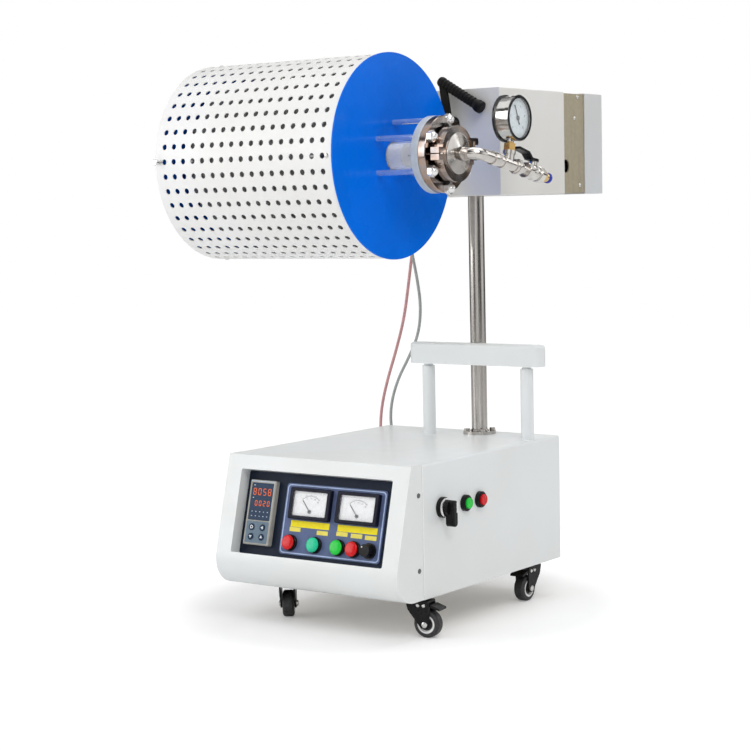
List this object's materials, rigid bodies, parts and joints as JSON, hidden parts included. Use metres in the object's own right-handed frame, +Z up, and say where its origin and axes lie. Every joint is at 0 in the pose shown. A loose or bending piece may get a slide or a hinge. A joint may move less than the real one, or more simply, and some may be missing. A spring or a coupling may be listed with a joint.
{
  "type": "tube furnace",
  "caption": "Tilting laboratory tube furnace: perforated drum on a column head over a wheeled control cabinet with gauges, gas line, valve and push handle.",
  "frame": {"origin": "centre of the part's footprint, on the floor", "axes": "+X along the furnace towards its gas end, -Y to the instrument panel, +Z up"},
  "size_m": [0.5806, 0.6424, 0.8329],
  "materials": {
    "cabinet_paint": "smooth powder coat, cool off-white",
    "bare_zinc": "plain zinc-coated sheet",
    "panel_navy": "dark navy",
    "panel_blue_grey": "blue-grey print",
    "controller": "grey moulded case",
    "black_plastic": "black moulding",
    "red_button": "gloss",
    "green_button": "gloss",
    "teal_button": "gloss",
    "needle": "black",
    "iron_core": "laminated core",
    "stainless": "polished tube",
    "chrome": "polished",
    "nylon": "black nylon",
    "pink_sleeve": "soft sleeve",
    "grey_sleeve": "soft sleeve",
    "shell_paint": "off-white perforated sheet",
    "disc_blue": "glossy saturated blue",
    "fibre": "ceramic fibre",
    "coil_wire": "resistance wire",
    "quartz": "clear fused quartz",
    "flange_grey": "matte",
    "polished": "polished",
    "wheel_tyre": "black tread on a pale hub",
    "fork_black": "black paint"
  },
  "bodies": {
    "stand": {"cabinet_shell": "cabinet_paint", "base_plate": "bare_zinc", "rear_panel": "cabinet_paint", "front_bezel": "cabinet_paint", "instrument_panel": "panel_navy", "meter_subpanel": "panel_blue_grey", "temperature_controller": "controller", "meter_housings": "black_plastic", "switch_rings": "black_plastic", "transformer": "iron_core", "column": "stainless", "push_handle": "cabinet_paint", "head_chassis": "bare_zinc", "head_front_cover": "cabinet_paint", "head_rear_cover": "cabinet_paint", "drive_bearings": "polished", "cable_glands": "nylon", "heater_lead": "pink_sleeve", "sensor_lead": "grey_sleeve"},
    "furnace": {"trunnion_shaft": "stainless", "furnace_saddle": "flange_grey", "perforated_shell": "shell_paint", "end_discs": "disc_blue", "inner_drum": "shell_paint", "insulation": "fibre", "heating_coil": "coil_wire", "quartz_tube": "quartz", "stay_rods": "chrome", "inner_flanges": "flange_grey", "outer_flanges": "polished", "clamp_ring": "polished", "gas_pipework": "chrome", "pressure_gauge": "chrome", "ball_valve": "chrome"},
    "left_meter_needle": {"left_meter_needle": "needle"},
    "right_meter_needle": {"right_meter_needle": "needle"},
    "heater_off_button": {"heater_off_button": "red_button"},
    "heater_on_button": {"heater_on_button": "teal_button"},
    "start_button": {"start_button": "green_button"},
    "stop_button": {"stop_button": "red_button"},
    "side_green_button": {"side_green_button": "green_button"},
    "side_red_button": {"side_red_button": "red_button"},
    "adjust_knob": {"adjust_knob": "black_plastic"},
    "rotary_switch_lever": {"rotary_switch_lever": "black_plastic"},
    "clamp_lever": {"clamp_lever": "black_plastic"},
    "worm_shaft": {"worm_shaft": "stainless"},
    "gauge_needle": {"gauge_needle": "needle"},
    "ball_valve_lever": {"ball_valve_lever": "black_plastic"},
    "front_left_fork": {"front_left_fork": "fork_black"},
    "front_left_wheel": {"front_left_wheel": "wheel_tyre"},
    "front_left_brake_pedal": {"front_left_brake_pedal": "black_plastic"},
    "front_right_fork": {"front_right_fork": "fork_black"},
    "front_right_wheel": {"front_right_wheel": "wheel_tyre"},
    "front_right_brake_pedal": {"front_right_brake_pedal": "black_plastic"},
    "rear_left_fork": {"rear_left_fork": "fork_black"},
    "rear_left_wheel": {"rear_left_wheel": "wheel_tyre"},
    "rear_left_brake_pedal": {"rear_left_brake_pedal": "black_plastic"},
    "rear_right_fork": {"rear_right_fork": "fork_black"},
    "rear_right_wheel": {"rear_right_wheel": "wheel_tyre"},
    "rear_right_brake_pedal": {"rear_right_brake_pedal": "black_plastic"}
  },
  "joints": [
    {"name": "left_meter_needle_turn", "type": "hinge", "parent": "stand", "child": "left_meter_needle", "pos_m": [0.04675, -0.27337, 0.17391], "axis": [0, -0.9668, 0.2554], "range_deg": [-84, 0], "stiffness_Nm_per_rad": 0.0001, "springref_deg": 5.73},
    {"name": "right_meter_needle_turn", "type": "hinge", "parent": "stand", "child": "right_meter_needle", "pos_m": [0.13175, -0.27337, 0.17391], "axis": [0, -0.9668, 0.2554], "range_deg": [-84, 0], "stiffness_Nm_per_rad": 0.0001, "springref_deg": 5.73},
    {"name": "heater_off_button_press", "type": "slide", "parent": "stand", "child": "heater_off_button", "axis": [0, 0.9668, -0.2554], "range_m": [0, 0.003], "stiffness_N_per_m": 300, "springref_m": -0.003},
    {"name": "heater_on_button_press", "type": "slide", "parent": "stand", "child": "heater_on_button", "axis": [0, 0.9668, -0.2554], "range_m": [0, 0.003], "stiffness_N_per_m": 300, "springref_m": -0.003},
    {"name": "start_button_press", "type": "slide", "parent": "stand", "child": "start_button", "axis": [0, 0.9668, -0.2554], "range_m": [0, 0.003], "stiffness_N_per_m": 300, "springref_m": -0.003},
    {"name": "stop_button_press", "type": "slide", "parent": "stand", "child": "stop_button", "axis": [0, 0.9668, -0.2554], "range_m": [0, 0.003], "stiffness_N_per_m": 300, "springref_m": -0.003},
    {"name": "side_green_button_press", "type": "slide", "parent": "stand", "child": "side_green_button", "axis": [-1, 0, 0], "range_m": [0, 0.003], "stiffness_N_per_m": 300, "springref_m": -0.003},
    {"name": "side_red_button_press", "type": "slide", "parent": "stand", "child": "side_red_button", "axis": [-1, 0, 0], "range_m": [0, 0.003], "stiffness_N_per_m": 300, "springref_m": -0.003},
    {"name": "adjust_knob_turn", "type": "hinge", "parent": "stand", "child": "adjust_knob", "pos_m": [0.15875, -0.27958, 0.12694], "axis": [0, -0.9668, 0.2554], "range_deg": [-270, 0]},
    {"name": "rotary_switch_turn", "type": "hinge", "parent": "stand", "child": "rotary_switch_lever", "pos_m": [0.22375, -0.19375, 0.183], "axis": [1, 0, 0], "range_deg": [0, 90]},
    {"name": "clamp_lever_turn", "type": "hinge", "parent": "stand", "child": "clamp_lever", "pos_m": [0.12275, 0.00825, 0.735], "axis": [0, -1, 0], "range_deg": [-60, 35]},
    {"name": "furnace_tilt", "type": "hinge", "parent": "stand", "child": "furnace", "pos_m": [-0.03225, 0.00825, 0.706], "axis": [0, -1, 0], "range_deg": [0, 90]},
    {"name": "worm_shaft_turn", "type": "hinge", "parent": "stand", "child": "worm_shaft", "pos_m": [-0.03225, 0.20725, 0.67], "axis": [1, 0, 0], "range_deg": [0, 3600]},
    {"name": "gauge_needle_turn", "type": "hinge", "parent": "furnace", "child": "gauge_needle", "pos_m": [0.28635, -0.07306, 0.73432], "axis": [1, 0, 0], "range_deg": [-150, 60], "stiffness_Nm_per_rad": 0.0002},
    {"name": "ball_valve_turn", "type": "hinge", "parent": "furnace", "child": "ball_valve_lever", "pos_m": [0.27635, -0.01823, 0.65703], "axis": [0, 0.1822, 0.9833], "range_deg": [0, 90]},
    {"name": "front_left_swivel", "type": "hinge", "parent": "stand", "child": "front_left_fork", "pos_m": [-0.03525, -0.22575, 0.05], "axis": [0, 0, 1], "continuous": true},
    {"name": "front_left_roll", "type": "hinge", "parent": "front_left_fork", "child": "front_left_wheel", "pos_m": [-0.04308, -0.21414, 0.02], "axis": [-0.829, -0.5592, 0], "continuous": true},
    {"name": "front_left_brake", "type": "hinge", "parent": "front_left_fork", "child": "front_left_brake_pedal", "pos_m": [-0.04476, -0.21166, 0.046], "axis": [-0.829, -0.5592, 0], "range_deg": [0, 12]},
    {"name": "front_right_swivel", "type": "hinge", "parent": "stand", "child": "front_right_fork", "pos_m": [0.20375, -0.22575, 0.05], "axis": [0, 0, 1], "continuous": true},
    {"name": "front_right_roll", "type": "hinge", "parent": "front_right_fork", "child": "front_right_wheel", "pos_m": [0.21761, -0.2238, 0.02], "axis": [-0.1392, 0.9903, 0], "continuous": true},
    {"name": "front_right_brake", "type": "hinge", "parent": "front_right_fork", "child": "front_right_brake_pedal", "pos_m": [0.22059, -0.22338, 0.046], "axis": [-0.1392, 0.9903, 0], "range_deg": [0, 12]},
    {"name": "rear_left_swivel", "type": "hinge", "parent": "stand", "child": "rear_left_fork", "pos_m": [-0.03525, 0.07625, 0.05], "axis": [0, 0, 1], "continuous": true},
    {"name": "rear_left_roll", "type": "hinge", "parent": "rear_left_fork", "child": "rear_left_wheel", "pos_m": [-0.04515, 0.08615, 0.02], "axis": [-0.7071, -0.7071, 0], "continuous": true},
    {"name": "rear_left_brake", "type": "hinge", "parent": "rear_left_fork", "child": "rear_left_brake_pedal", "pos_m": [-0.04727, 0.08827, 0.046], "axis": [-0.7071, -0.7071, 0], "range_deg": [0, 12]},
    {"name": "rear_right_swivel", "type": "hinge", "parent": "stand", "child": "rear_right_fork", "pos_m": [0.20375, 0.07625, 0.05], "axis": [0, 0, 1], "continuous": true},
    {"name": "rear_right_roll", "type": "hinge", "parent": "rear_right_fork", "child": "rear_right_wheel", "pos_m": [0.20375, 0.06225, 0.02], "axis": [1, 0, 0], "continuous": true},
    {"name": "rear_right_brake", "type": "hinge", "parent": "rear_right_fork", "child": "rear_right_brake_pedal", "pos_m": [0.20375, 0.05925, 0.046], "axis": [1, 0, 0], "range_deg": [0, 12]}
  ],
  "couplings": [
    {"joint": "worm_shaft_turn", "follows": "furnace_tilt", "ratio": 40}
  ]
}
